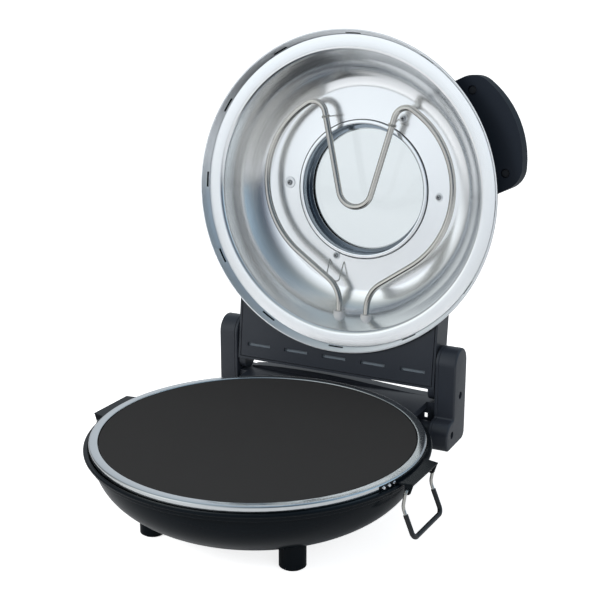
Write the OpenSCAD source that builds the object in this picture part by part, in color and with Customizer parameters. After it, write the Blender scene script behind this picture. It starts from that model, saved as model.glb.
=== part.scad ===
// Countertop pizza maker: a round heated base with a lift-out baking stone, and a domed, heated lid
// with a window, hinged between two towers at the back. Sizes are in millimetres.
// The parts are drawn with the lid standing open, as it rests. X runs along the hinge, Y to the back, Z up.
// The table is Z = 0, and the origin is the middle of the floor area that the open machine covers.

/* [Stone and tray] */
// Diameter of the baking stone
stone_d = 312; // [300:1:320]
// Thickness of the baking stone
stone_t = 10; // [8:0.5:11]
// Height of the baking face above the table
stone_top = 90; // [86:0.5:94]
// Radial gap between the stone and its tray
stone_gap = 0.6; // [0.3:0.1:1]
// Width of the tray's bright rim
tray_rim_w = 8.9; // [7:0.1:10]
// Height of the tray's rim above the baking face
tray_lip = 0.6; // [0:0.1:1.5]
// Thickness of the tray's sheet
tray_sheet = 1; // [0.8:0.1:1.4]
// Width of the ledge that carries the stone
tray_ledge = 9; // [6:0.5:14]
// How far the tray is turned in the base, seen from above
tray_turn = -2.5; // [-5:0.5:5]

/* [Tray handles] */
// How far the straight outer edge of a handle shield stands out beyond the tray
shield_out = 14.5; // [12.5:0.5:18.5]
// Half the length of a shield's outer edge
shield_half = 28; // [24:0.5:32]
// Thickness of the shield's sheet
shield_sheet = 1.4; // [1:0.1:1.4]
// Half the angle that a shield's strap covers on the tray's rim
strap_angle = 18; // [17:0.5:20]
// Diameter of the bail's wire
bail_d = 3.2; // [2.6:0.1:3.6]
// Outside diameter of the sleeve on the bail's grip
sleeve_d = 4.8; // [4.4:0.1:5.4]
// Drop from the bail's pivot to its grip
bail_drop = 45; // [38:0.5:48]
// How far the grip stands out from the pivot
bail_out = 9.5; // [7:0.5:12]

/* [Base] */
// Thickness of the bowl's sheet
bowl_sheet = 1.5; // [1.2:0.1:1.8]
// Radial play between the tray and the bowl's rim
tray_play = 0.7; // [0.5:0.1:1]
// Depth of the groove under the bowl's rim
rim_groove = 9; // [8:0.5:10]
// Radius of the bowl's flat bottom
bowl_floor_r = 53; // [45:1:60]
// Height of the bowl's flat bottom above the table
bowl_floor_z = 11; // [8:0.5:16]
// Width of the rolled rim outside the bowl's groove
rim_roll = 3.3; // [2.5:0.1:4]
// Height of the rolled rim
rim_h = 3; // [2.5:0.1:4]
// Drop from the baking face to the rim's top
rim_drop = 5.5; // [5.3:0.1:6]
// Diameter of a foot
foot_d = 26; // [20:0.5:32]
// Distance of the front feet from the stone's axis
foot_r = 108; // [95:1:112]
// Sideways distance of each rear foot from the middle
rear_foot_x = 66; // [50:1:70]

/* [Hinge] */
// Distance of the hinge axis behind the bowl's rim
hinge_back = 17; // [16.5:0.5:18]
// Height of the hinge axis above the baking face
hinge_rise = 14.5; // [14:0.25:16]
// Radius of a hinge pin
pin_r = 4; // [3:0.25:5]
// Radial clearance of a hinge pin in the lid's arms
pin_play = 0.05; // [0.03:0.01:0.1]
// How far the lid turns from open to closed
lid_travel = 96.2; // [94:0.1:98]
// Half the distance between the towers' inner faces
tower_in = 119.2; // [119:0.1:121]
// Width of a tower, its inner cover included
tower_w = 22.8; // [20:0.1:26]
// Depth of a tower from front to back
tower_depth = 35; // [33:0.5:38]
// Distance of the towers' middle behind the hinge axis
tower_set_back = 2.5; // [2:0.5:4]
// Height of a tower's top above the hinge axis
tower_rise = 36.5; // [30:0.5:42]
// Distance of a tower's bottom below the hinge axis
tower_drop = 69.5; // [66:0.5:71]
// Thickness of a tower's inner cover
tower_cover_t = 3.7; // [3:0.1:5]
// Radius of the barrel at a tower's foot
barrel_r = 14.5; // [13:0.5:15]
// Distance of the barrel's middle in front of the hinge axis
barrel_ahead = 20; // [18:0.5:21]
// Distance of the barrel's middle below the hinge axis
barrel_drop = 53.5; // [52:0.5:55]
// Thickness of a lid arm where it runs inside the housing
arm_t = 3.4; // [3:0.1:5]
// Gap between the lid's housing and a tower
arm_gap = 1.2; // [0.6:0.1:1.6]
// Radius of a lid arm's round end
arm_end_r = 11.5; // [10:0.5:12]
// How far a lid arm's round end lies beyond the hinge axis
arm_end_out = 11.5; // [8:0.5:12]
// Drop from the bowl's rim to the deck behind it
deck_drop = 4.5; // [4:0.5:8]
// Height of the low hump on the deck's rear edge
hump_h = 5.4; // [3:0.1:6]

/* [Lid] */
// How far the lid's rim stands out over the bowl's rim
lid_over = 1.8; // [1.2:0.1:3]
// Depth of the hinge axis behind the lid's rim plane
hinge_depth = 17; // [16:0.25:18]
// Whole height of the lid's shell
lid_h = 76; // [74:0.5:84]
// Thickness of the shell's sheet
lid_sheet = 1.2; // [1:0.1:1.4]
// Height of the skirt, from the rim plane to the flat flange
skirt_h = 10; // [9:0.5:11]
// Width of the flat flange inside the lid's rim
flange_w = 20.8; // [19:0.1:24]
// Thickness of the reflector's sheet
reflector_sheet = 0.8; // [0.6:0.1:1]
// Height of the air space between the reflector's floor and the top of the shell
floor_gap = 17; // [14:0.5:20]
// Inward run of the reflector's wall, from the flange to the flat floor
wall_run = 33; // [30:0.5:38]
// Outer radius of the ring round the window
window_r = 76.5; // [74:0.5:78]
// Thickness of the window's glass
glass_t = 4; // [3:0.5:5]
// Diameter of the heater tubes
element_d = 6.8; // [6:0.1:7.4]
// Depth of the upper heater behind the rim plane
element_depth = 39; // [37:0.5:42]
// Distance of the housing's lower edge beyond the hinge axis
housing_drop = 9.7; // [8:0.1:10.5]
// Depth of the housing's front plate behind the rim plane
housing_front = 3; // [2.5:0.5:4]
// Depth of the housing's back behind the rim plane
housing_back = 35; // [32:0.5:36]
// Number of vent slots in the housing's front plate
vent_count = 5; // [3:1:5]
// Spacing of the vent slots
vent_pitch = 46.3; // [40:0.1:48]
// Length of a vent slot
vent_length = 28.5; // [20:0.5:32]

/* [Lid handle] */
// Angle of the lid's handle from the lid's front, towards the right
handle_turn = 63; // [55:1:70]
// How far the handle stands out beyond the lid's rim
handle_out = 24.9; // [20:0.1:30]
// Half the length of the handle
handle_half = 62; // [52:1:66]
// Radius of the handle's rounded corners
handle_corner_r = 24; // [15:1:28]
// Radius of the handle's long outer edge
handle_edge_r = 105; // [90:1:160]
// Thickness of the handle
handle_t = 18; // [14:0.5:22]
// Depth of the handle's near face behind the rim plane
handle_depth = 27; // [24:0.5:30]

/* [Hidden] */
$fn = 72;
// Place of the stone's axis from the origin
base_x = 0;
base_y = -54;
eps = 0.01;
stone_r = stone_d / 2;
stone_z = stone_top - stone_t;
tray_in = stone_r + stone_gap;
tray_r = tray_in + tray_rim_w;
shield_reach = tray_r + shield_out;
tray_top = stone_top + tray_lip;
tray_z = stone_z - tray_sheet;
liner_sheet = 0.8;
ledge_z = tray_z - liner_sheet;
rim_in = tray_r + tray_play;
rim_out = rim_in + bowl_sheet + rim_roll;
rim_top = stone_top - rim_drop;
bowl_top = ledge_z - bowl_sheet;
bowl_wall_r = rim_out - rim_groove;
lid_r = rim_out + lid_over;
dome_r = lid_r - flange_w;
floor_r = dome_r - wall_run;
hinge_y = rim_out + hinge_back;
hinge_z = stone_top + hinge_rise;
tower_y = hinge_y + tower_set_back;
tower_top = hinge_z + tower_rise;
tower_bottom = hinge_z - tower_drop;
barrel_y = hinge_y - barrel_ahead;
barrel_z = hinge_z - barrel_drop;
housing_half = tower_in - arm_gap;
housing_reach = hinge_y + housing_drop;
handle_reach = lid_r + handle_out;
tower_out = tower_in + tower_w;
tower_back = tower_y + tower_depth / 2;
tower_front = tower_y - tower_depth / 2;
tower_screw_z = hinge_z - 16;
screw_r = 2;
screw_head_r = 3.8;
screw_head_h = 2.6;
recess_depth = 6;

// ---- Places ----

// The stone's axis, at table height
module at_stone() translate([base_x, base_y, 0]) children();

// The tray's own frame: X out along the right handle
module at_tray() at_stone() rotate([0, 0, tray_turn]) children();

// The lid's own frame, opened: Z is the depth behind the rim plane, and the hinge is at +Y
module at_lid() at_stone() translate([0, hinge_y, hinge_z]) rotate([-lid_travel, 0, 0])
  translate([0, -hinge_y, -hinge_depth]) children();

// Both sides, for what is drawn once on the right
module both_sides() { children(); mirror([1, 0, 0]) children(); }

// ---- Shapes that repeat ----

// Points of a quarter ellipse from (r1, z1) to (r0, z0), flat at its end
function quarter(r0, r1, z0, z1, steps) =
  [for (i = [0 : steps]) [r0 + (r1 - r0) * cos(90 * i / steps), z1 + (z0 - z1) * sin(90 * i / steps)]];

// The same line moved sideways by t, to the right of the way it runs
function beside(line, t) = [for (i = [0 : len(line) - 1])
  let (a = i > 0 ? line[i] - line[i - 1] : line[1] - line[0],
       b = i < len(line) - 1 ? line[i + 1] - line[i] : a,
       m = [a[1], -a[0]] / norm(a), n = [b[1], -b[0]] / norm(b))
  line[i] + t * (m + n) / (1 + m * n)];

// A sheet of thickness t along a line, all on its right-hand side
function sheet(line, t) = concat(line, reversed(beside(line, t)));

function reversed(list) = [for (i = [len(list) - 1 : -1 : 0]) list[i]];

function direction(a, b) = let (v = [b[0] - a[0], b[1] - a[1], b[2] - a[2]]) v / norm(v);
function bend_angle(p, i) = acos(direction(p[i - 1], p[i]) * direction(p[i], p[i + 1]));
function bend_length(p, i) = i <= 0 || i >= len(p) - 1 ? 0 : p[i][3] * tan(bend_angle(p, i) / 2);

tube_lap = 0.06;
tube_step = 0.03;

// A round bar along points [x, y, z, bend radius]: straight lengths joined by true bends.
// The straight lengths are a hair thinner and reach a little way into the bends, so that they join cleanly.
module bar(p, d) {
  for (i = [0 : len(p) - 2]) {
    u = direction(p[i], p[i + 1]);
    from = bend_length(p, i);
    to = bend_length(p, i + 1);
    run = norm([p[i + 1][0] - p[i][0], p[i + 1][1] - p[i][1], p[i + 1][2] - p[i][2]]) - from - to;
    low = from > 0 ? tube_lap : 0;
    high = to > 0 ? tube_lap : 0;
    translate([p[i][0], p[i][1], p[i][2]] + (from - low) * u)
      rotate([0, acos(u[2]), atan2(u[1], u[0])]) cylinder(d = d - tube_step, h = run + low + high);
    if (i < len(p) - 2) bend(p, i + 1, u, to, d);
  }
}

// One bend of a bar, swept round its own centre
module bend(p, i, u, back, d) {
  r = p[i][3];
  next = direction(p[i], p[i + 1]);
  across = next - (next * u) * u;
  w = across / norm(across);
  start = [p[i][0], p[i][1], p[i][2]] - back * u;
  centre = start + r * w;
  n = cross(-w, u);
  multmatrix([[-w[0], u[0], n[0], centre[0]], [-w[1], u[1], n[1], centre[1]],
              [-w[2], u[2], n[2], centre[2]], [0, 0, 0, 1]])
    rotate_extrude(angle = bend_angle(p, i)) translate([r, 0]) circle(d = d);
}

// A block between two corners
module block(low, high) translate(low) cube(high - low);

// A cylinder along +X from x0 to x1
module rod_x(x0, x1, y, z, r) translate([x0, y, z]) rotate([0, 90, 0]) cylinder(r = r, h = x1 - x0);

// A plate with one edge turned to a radius about the Z axis
module sector(r0, r1, z0, z1, half_angle)
  rotate([0, 0, -half_angle]) rotate_extrude(angle = 2 * half_angle)
    translate([r0, z0]) square([r1 - r0, z1 - z0]);

// ---- Base ----

bowl_steps = 18;

// Outer outline of the bowl, from its bottom to the rim's top
bowl_outline = concat(
  [[0, bowl_floor_z]],
  reversed(quarter(bowl_floor_r, bowl_wall_r, bowl_floor_z, bowl_top, bowl_steps)),
  [[rim_in + bowl_sheet, bowl_top], [rim_in + bowl_sheet, rim_top - rim_h],
   [rim_out, rim_top - rim_h], [rim_out, rim_top]]);

// Everything inside the bowl's outer surface, for pieces that fit against it
module bowl_envelope() rotate_extrude()
  polygon(concat(bowl_outline, [[0, rim_top]]));

module base_bowl() color("#23262b") at_stone() difference() {
  rotate_extrude() polygon(concat(bowl_outline,
    [[rim_in, rim_top], [rim_in, ledge_z]],
    quarter(bowl_floor_r, bowl_wall_r - bowl_sheet, bowl_floor_z + bowl_sheet, ledge_z, bowl_steps),
    [[0, bowl_floor_z + bowl_sheet]]));
  for (p = front_feet) translate([p[0], p[1], 0]) cylinder(r = screw_r, h = stone_z);
}

liner_wall_r = tray_in + 0.4;
liner_floor_r = liner_wall_r - 29;
liner_floor_z = stone_z - 28;
liner_hole_r = element_d / 2 + 1.6;

module base_liner() color("#b9bcbf") at_stone() difference() {
  rotate_extrude() polygon(sheet(concat([[0, liner_floor_z]],
    reversed(quarter(liner_floor_r, liner_wall_r, liner_floor_z, tray_z, 6)), [[tray_r, tray_z]]), liner_sheet));
  for (s = [-1, 1]) translate([s * lower_leg_x, lower_half, lower_element_z]) rotate([-90, 0, 0])
    cylinder(r = liner_hole_r, h = stone_r);
}

lower_element_z = liner_floor_z + 15;
lower_leg_x = 18;
lower_half = liner_floor_r - 24;
lower_bend = lower_half - lower_leg_x - 14;
lower_leg_end = liner_floor_r + 18;

module lower_element() color("#6f7072") at_stone() translate([0, 0, lower_element_z]) bar([
  [-lower_leg_x, lower_leg_end, 0, 0], [-lower_leg_x, lower_half, 0, 12],
  [-lower_half, lower_half, 0, lower_bend], [-lower_half, -lower_half, 0, lower_bend],
  [lower_half, -lower_half, 0, lower_bend], [lower_half, lower_half, 0, lower_bend],
  [lower_leg_x, lower_half, 0, 12], [lower_leg_x, lower_leg_end, 0, 0]], element_d);

module lower_element_bushes() color("#e9e6df") at_stone() for (s = [-1, 1]) difference() {
  translate([s * lower_leg_x, lower_leg_end - 10, lower_element_z]) rotate([-90, 0, 0]) cylinder(r = liner_hole_r, h = 14);
  translate([s * lower_leg_x, lower_leg_end - 11, lower_element_z]) rotate([-90, 0, 0]) cylinder(d = element_d, h = 16);
}

bracket_w = 8;
bracket_t = 1.2;

// Sheet posts on the liner's floor, each with a round saddle that the lower heater lies in
module lower_element_brackets() color("#a9abad") at_stone() for (a = [0, 90, 180, 270]) rotate([0, 0, a])
  difference() {
    union() {
      block([lower_half - 14, -bracket_w / 2, liner_floor_z], [lower_half + 8, bracket_w / 2, liner_floor_z + bracket_t]);
      block([lower_half - 6, -bracket_t / 2, liner_floor_z], [lower_half + 6, bracket_t / 2, lower_element_z]);
    }
    translate([lower_half, -bracket_w, lower_element_z]) rotate([-90, 0, 0])
      cylinder(d = element_d, h = 2 * bracket_w);
  }

module lower_thermostat() color("#c9c7c0") at_stone() translate([-40, 30, 0]) {
  translate([0, 0, liner_floor_z - liner_sheet - 9]) cylinder(r = 8, h = 9);
  for (s = [-1, 1]) block([s * 6 - 3, -0.4, liner_floor_z - liner_sheet - 17], [s * 6 + 3, 0.4, liner_floor_z - liner_sheet - 9]);
}

// ---- Feet ----

front_feet = [for (s = [-1, 1]) [s * foot_r * sin(45), -foot_r * cos(45)]];
rear_foot_y = tower_back - 32;
rear_feet = [for (s = [-1, 1]) [s * rear_foot_x, rear_foot_y]];
all_feet = concat(front_feet, rear_feet);
pad_h = 2.5;
pad_sunk = 1;
pad_r = foot_d / 2 - 2;
foot_bore_top = 9;

module foot_at(p, top) color("#1c1e22") at_stone() difference() {
  translate([p[0], p[1], pad_h - pad_sunk]) cylinder(d = foot_d, h = top - pad_h + pad_sunk);
  translate([p[0], p[1], 0]) cylinder(r = pad_r, h = pad_h);
  translate([p[0], p[1], 0]) cylinder(r = screw_head_r + 0.4, h = foot_bore_top);
  translate([p[0], p[1], 0]) cylinder(r = screw_r, h = stone_z);
  bowl_envelope();
}

module foot_front_left() foot_at(front_feet[0], rim_top);
module foot_front_right() foot_at(front_feet[1], rim_top);
module foot_rear_left() foot_at(rear_feet[0], box_bottom);
module foot_rear_right() foot_at(rear_feet[1], box_bottom);

module foot_pads() color("#101113") at_stone()
  for (p = all_feet) translate([p[0], p[1], 0]) cylinder(r = pad_r, h = pad_h);

module foot_screws() color("#a7a9ab") at_stone() for (i = [0 : 3]) translate([all_feet[i][0], all_feet[i][1], 0]) {
  translate([0, 0, foot_bore_top - screw_head_h]) cylinder(r = screw_head_r, h = screw_head_h);
  translate([0, 0, foot_bore_top]) cylinder(r = screw_r, h = (i < 2 ? 22 : box_bottom + 6 - foot_bore_top));
}

// ---- Hinge bridge behind the bowl ----

deck_half = tower_in - 0.8;
deck_front_half = tower_in - 10.2;
deck_top = rim_top - deck_drop;
deck_t = 7;
box_half = tower_in - 34.2;
box_bottom = deck_top - 40;
box_wall = 3;
web_low = barrel_z - 4;
web_front = tower_front + 5;
web_t = 2.5;
// Place and size of the locating slot in each web
slot_x = 108.2;
slot_z = deck_top - 15.6;
slot_w = 4;
slot_h = 5.8;
hump_left = -deck_half + 6;
hump_right = deck_half - 11;
hump_peak = -32;
hump_depth = 12;
lug_r = barrel_r - 3.5;
bridge_front = bowl_wall_r - 66;
cover_t = 2.5;
cavity_front = tower_back - 36;

// Low hump on the deck's rear edge, highest to the left of the middle
module hump() translate([0, tower_back - 2, 0]) rotate([90, 0, 0]) linear_extrude(hump_depth)
  polygon(concat([[hump_left, deck_top - 1]],
    [for (i = [0 : 6]) [hump_peak + (hump_left - hump_peak) * cos(15 * i), deck_top + hump_h * sin(15 * i)]],
    [for (i = [1 : 8]) [hump_peak + (hump_right - hump_peak) * i / 8, deck_top + hump_h * pow(cos(90 * i / 8), 2)]],
    [[hump_right, deck_top - 1]]));

module hinge_bridge() color("#202328") at_stone() difference() {
  union() {
    block([-deck_front_half, bridge_front, deck_top - deck_t], [deck_front_half, tower_back - 2, deck_top]);
    block([-deck_half, web_front, deck_top - deck_t], [deck_half, tower_back - 2, deck_top]);
    hump();
    block([-box_half, bridge_front, box_bottom], [box_half, tower_back - 2, deck_top - deck_t]);
    both_sides() {
      block([box_half - 1, web_front, web_low], [tower_in, web_front + web_t, deck_top - 1]);
      rod_x(box_half - 1, tower_in, barrel_y, barrel_z, lug_r);
    }
  }
  bowl_envelope();
  difference() {
    block([-box_half + box_wall, cavity_front, box_bottom + box_wall],
          [box_half - box_wall, tower_back + 1, deck_top - deck_t - box_wall]);
    for (p = rear_screw_places) block([p[0] - post_half, cavity_front - 1, p[1] - post_half],
                                      [p[0] + post_half, tower_back - 2 - cover_t, p[1] + post_half]);
  }
  both_sides() {
    rod_x(tower_in - 14, tower_in + 1, barrel_y, barrel_z, screw_r);
    block([slot_x - slot_w / 2, web_front - 1, slot_z - slot_h / 2], [slot_x + slot_w / 2, web_front + web_t + 1, slot_z + slot_h / 2]);
  }
  for (p = rear_feet) translate([p[0], p[1], 0]) cylinder(r = screw_r, h = box_bottom + box_wall);
  for (p = rear_screw_places) translate([p[0], tower_back - 12, p[1]]) rotate([-90, 0, 0]) cylinder(r = 1.5, h = 20);
}

cover_low = box_bottom + box_wall + 0.3;
cover_high = deck_top - deck_t - box_wall - 0.3;
post_half = 4.5;
rear_screw_places = [for (x = [-1, 1]) for (z = [box_bottom + 7, deck_top - deck_t - 7]) [x * (box_half - 7.2), z]];
gland_z = (cover_low + cover_high) / 2;
gland_r = 7;

module rear_cover() color("#202328") at_stone() difference() {
  block([-box_half + box_wall + 0.3, tower_back - 2 - cover_t, cover_low], [box_half - box_wall - 0.3, tower_back - 2, cover_high]);
  translate([0, tower_back - 10, gland_z]) rotate([-90, 0, 0]) cylinder(r = gland_r, h = 20);
  for (p = rear_screw_places) translate([p[0], tower_back - 10, p[1]]) rotate([-90, 0, 0]) cylinder(r = 1.5, h = 20);
  for (x = [26 : 6 : box_half - 20]) both_sides()
    block([x - 1, tower_back - 10, cover_low + 6], [x + 1, tower_back, cover_high - 6]);
}

module rear_cover_screws() color("#a7a9ab") at_stone() for (p = rear_screw_places)
  translate([p[0], tower_back - 2, p[1]]) rotate([-90, 0, 0]) {
    cylinder(r = 2.8, h = 1.6);
    translate([0, 0, -8]) cylinder(r = 1.5, h = 8);
  }

module cord_grommet() color("#15161a") at_stone() translate([0, tower_back - 2, gland_z]) rotate([-90, 0, 0])
  difference() {
    union() {
      translate([0, 0, -cover_t]) cylinder(r = gland_r, h = cover_t);
      cylinder(r = gland_r + 2, h = 2);
      translate([0, 0, -cover_t - 2]) cylinder(r = gland_r + 2, h = 2);
    }
    translate([0, 0, -10]) cylinder(r = 3.8, h = 20);
  }

module terminal_block() color("#d9d5c8") at_stone() difference() {
  block([-30, cavity_front + 4, box_bottom + box_wall], [30, cavity_front + 20, box_bottom + box_wall + 15]);
  for (x = [-24 : 12 : 24]) translate([x, cavity_front, box_bottom + box_wall + 8]) rotate([-90, 0, 0])
    cylinder(r = 2.2, h = 30);
}

// ---- Tray, stone and their handles ----

module baking_stone() color("#333333") at_tray() rotate_extrude()
  polygon([[0, stone_z], [stone_r - 0.8, stone_z], [stone_r, stone_z + 0.8], [stone_r, stone_top - 0.8],
           [stone_r - 0.8, stone_top], [0, stone_top]]);

module tray_ring() color("#c9cbcd") at_tray() rotate_extrude()
  polygon([[tray_in - tray_ledge, tray_z], [tray_in + tray_sheet, tray_z], [tray_in + tray_sheet, tray_top - tray_sheet],
           [tray_r - tray_sheet, tray_top - tray_sheet - 0.6], [tray_r - tray_sheet, tray_z], [tray_r, tray_z],
           [tray_r, tray_top - 1.6], [tray_r - 1, tray_top - 0.6], [tray_in + 2, tray_top],
           [tray_in, tray_top - 0.5], [tray_in, stone_z], [tray_in - tray_ledge, stone_z]]);

strap_low = rim_top + 0.5;
strap_high = tray_top - 1.6;
plate_z = strap_low;
// Distance of the bail's pivot inward from the shield's outer edge
pivot_in = 6;
pivot_x = shield_reach - pivot_in;
pivot_z = 79.5;
flap_y = shield_half - shield_sheet;
hole_play = 0.08;

module shield() difference() {
  union() {
    sector(tray_r, tray_r + shield_sheet, strap_low, strap_high, strap_angle);
    difference() {
      translate([0, 0, plate_z]) linear_extrude(shield_sheet)
        polygon([[150, -shield_half - 3], [tray_r, -shield_half - 3], [shield_reach, -shield_half],
                 [shield_reach, shield_half], [tray_r, shield_half + 3], [150, shield_half + 3]]);
      cylinder(r = tray_r + shield_sheet / 2, h = stone_top * 2);
    }
    for (s = [-1, 1]) translate([0, s > 0 ? shield_half : -flap_y, 0]) rotate([90, 0, 0])
      linear_extrude(shield_sheet)
        polygon([[rim_out + 0.2, plate_z + shield_sheet], [shield_reach, plate_z + shield_sheet],
                 [pivot_x + 2.8, pivot_z - 3.5], [pivot_x + 1, pivot_z - 4.8],
                 [pivot_x - 1.5, pivot_z - 4.8], [rim_out + 0.2, pivot_z - 2.5]]);
  }
  translate([pivot_x, -shield_reach, pivot_z]) rotate([-90, 0, 0])
    cylinder(r = bail_d / 2 + hole_play, h = 2 * shield_reach);
}

module right_shield() color("#26292e") at_tray() shield();
module left_shield() color("#26292e") at_tray() rotate([0, 0, 180]) shield();

module shield_rivets() color("#d2d4d6") at_tray() for (side = [0, 180]) for (a = [-16.8, -14.2, -11.6])
  rotate([0, 0, side + a]) translate([tray_r + shield_sheet, 0, (strap_low + strap_high) / 2])
    rotate([0, 90, 0]) cylinder(r1 = 1.9, r2 = 1.3, h = 1.1);

bail_y = shield_half + 3.6;
bail_in = 8;
bail_knee = 16;
bail_lean = 2.4;
bail_slant = (bail_out + bail_lean) / (bail_drop - bail_knee);

// The bail's wire: a pin in each flap, a straight drop, a knee, and the grip between two corners
bail_path = [
  [0, -bail_y + bail_in, 0, 0], [0, -bail_y, 0, 4], [-bail_lean, -bail_y, -bail_knee, 14],
  [bail_out, -bail_y, -bail_drop, 6], [bail_out, bail_y, -bail_drop, 6],
  [-bail_lean, bail_y, -bail_knee, 14], [0, bail_y, 0, 4], [0, bail_y - bail_in, 0, 0]];
sleeve_up = 22;
sleeve_path = [
  [bail_out - sleeve_up * bail_slant, -bail_y, -bail_drop + sleeve_up, 0],
  [bail_out, -bail_y, -bail_drop, 6], [bail_out, bail_y, -bail_drop, 6],
  [bail_out - sleeve_up * bail_slant, bail_y, -bail_drop + sleeve_up, 0]];

module at_pivot() at_tray() translate([pivot_x, 0, pivot_z]) children();
module at_left_pivot() at_tray() rotate([0, 0, 180]) translate([pivot_x, 0, pivot_z]) children();

module sleeve() difference() { bar(sleeve_path, sleeve_d); bar(bail_path, bail_d); }

module right_bail() color("#b4b1aa") at_pivot() bar(bail_path, bail_d);
module left_bail() color("#b4b1aa") at_left_pivot() bar(bail_path, bail_d);
module right_bail_sleeve() color("#1a1b1d") at_pivot() sleeve();
module left_bail_sleeve() color("#1a1b1d") at_left_pivot() sleeve();

// ---- Towers ----

// Side outline of a tower from x0 to x1: an upright with a round top, and a barrel at its front foot
module tower_form(x0, x1) {
  block([x0, tower_front, tower_bottom], [x1, tower_back, tower_top - tower_depth / 2]);
  rod_x(x0, x1, tower_y, tower_top - tower_depth / 2, tower_depth / 2);
  rod_x(x0, x1, barrel_y, barrel_z, barrel_r);
}

pin_in_tower = 12;

module tower() difference() {
  tower_form(tower_in + tower_cover_t, tower_out);
  rod_x(tower_in, tower_in + tower_cover_t + pin_in_tower, hinge_y, hinge_z, pin_r);
  for (q = tower_screw_places) {
    rod_x(tower_out - recess_depth, tower_out + 1, q[0], q[1], screw_head_r + 0.7);
    rod_x(tower_in, tower_out, q[0], q[1], screw_r);
  }
}

module tower_cover() difference() {
  tower_form(tower_in, tower_in + tower_cover_t);
  rod_x(tower_in - 1, tower_in + tower_cover_t + 1, hinge_y, hinge_z, pin_r);
  for (q = tower_screw_places) rod_x(tower_in - 1, tower_out, q[0], q[1], screw_r);
}

tower_screw_places = [[tower_y, tower_screw_z], [barrel_y, barrel_z]];

module right_tower() color("#2a2d34") at_stone() tower();
module left_tower() color("#2a2d34") at_stone() mirror([1, 0, 0]) tower();
module right_tower_cover() color("#24272d") at_stone() tower_cover();
module left_tower_cover() color("#24272d") at_stone() mirror([1, 0, 0]) tower_cover();

module tower_screws() color("#8f9194") at_stone() both_sides() for (i = [0, 1]) {
  q = tower_screw_places[i];
  rod_x(tower_out - recess_depth, tower_out - recess_depth + screw_head_h, q[0], q[1], screw_head_r);
  rod_x(i == 0 ? tower_in : tower_in - 14, tower_out - recess_depth, q[0], q[1], screw_r);
}

module hinge_pins() color("#b8babc") at_stone() both_sides()
  rod_x(arm_in + 0.5, tower_in + tower_cover_t + pin_in_tower, hinge_y, hinge_z, pin_r);

// ---- Lid shell, reflector and window ----

dome_steps = 16;
shoulder_r = dome_r + 11;
dome_flat_r = dome_r - 56;
collar_r = window_r - 3.5;
floor_depth = lid_h - lid_sheet - reflector_sheet - floor_gap;
post_cap = 5;
floor_screw_run = floor_gap - post_cap;

// Outer outline of the lid's shell, from the rim to the top of the dome
shell_outline = concat(
  [[lid_r, 0], [lid_r, 1.5], [lid_r - 4.2, skirt_h + reflector_sheet + lid_sheet],
   [shoulder_r, skirt_h + reflector_sheet + lid_sheet]],
  quarter(dome_flat_r, shoulder_r, lid_h, skirt_h + reflector_sheet + lid_sheet + 1, dome_steps));

// Everything inside the shell's outer surface, for pieces that fit against it
module shell_envelope() rotate_extrude()
  polygon(concat([[0, 0]], shell_outline, [[0, lid_h]]));

slit_count = 12;
slit_length = 17;
slit_h = 2.4;

module lid_shell() color("#2b2e34") at_lid() difference() {
  rotate_extrude() polygon(concat(shell_outline,
    [[window_r + 1, lid_h], [window_r + 1, lid_h - lid_sheet]],
    reversed(quarter(dome_flat_r, shoulder_r - lid_sheet, lid_h - lid_sheet, skirt_h + reflector_sheet, dome_steps)),
    [[lid_r - 5.4, skirt_h + reflector_sheet], [lid_r - lid_sheet, 1.2], [lid_r - lid_sheet, 0]]));
  for (i = [0 : slit_count - 1]) rotate([0, 0, 360 * i / slit_count])
    block([lid_r - 8, -slit_length / 2, skirt_h - 1 - slit_h], [lid_r + 2, slit_length / 2, skirt_h - 1]);
}

// Places of the four screws in the reflector's floor, as [x, y] in the lid's frame
floor_screws = [[-window_r - 13, 0], [window_r + 13, 0], [-27.5, window_r], [43, -window_r - 4.5]];

// Inner face of the reflector, from its flange to the edge of its flat floor
reflector_line = [[lid_r - 5.5, skirt_h], [dome_r, skirt_h], [dome_r - 3, skirt_h + 3], [dome_r - 8, skirt_h + 14],
  [dome_r - 11, floor_depth - 25.5], [floor_r + 15, floor_depth - 10.5], [floor_r + 7, floor_depth - 3.5],
  [floor_r, floor_depth], [collar_r + 0.2, floor_depth]];

module lid_reflector() color("#c6c9cc") at_lid() difference() {
  rotate_extrude() polygon(sheet(reflector_line, reflector_sheet));
  for (q = floor_screws) translate([q[0], q[1], 0]) cylinder(r = 1.75, h = lid_h);
  for (x = leg_places) translate([x, floor_r - 10, element_depth]) rotate([-90, 0, 0]) cylinder(r = bush_r, h = flange_w + wall_run);
}

module reflector_screws() color("#d7d9db") at_lid() for (q = floor_screws) translate([q[0], q[1], floor_depth]) {
  translate([0, 0, -3.2]) cylinder(r = 3.4, h = 2.2);
  translate([0, 0, -1]) cylinder(r = 1.75, h = 1 + floor_screw_run);
}

module reflector_washers() color("#cfd1d3") at_lid() for (i = [0 : 3]) difference() {
  translate([floor_screws[i][0], floor_screws[i][1], floor_depth - 1]) cylinder(r = i == 0 ? 6.5 : 4.6, h = 1);
  translate([floor_screws[i][0], floor_screws[i][1], 0]) cylinder(r = 1.75, h = lid_h);
}

module reflector_posts() color("#9fa1a3") at_lid() for (q = floor_screws) difference() {
  translate([q[0], q[1], floor_depth + reflector_sheet]) cylinder(r = 4.5, h = floor_gap);
  translate([q[0], q[1], 0]) cylinder(r = 1.75, h = floor_depth + floor_screw_run);
}

glass_depth = lid_h - glass_t;
glass_r = collar_r - 1;

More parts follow.
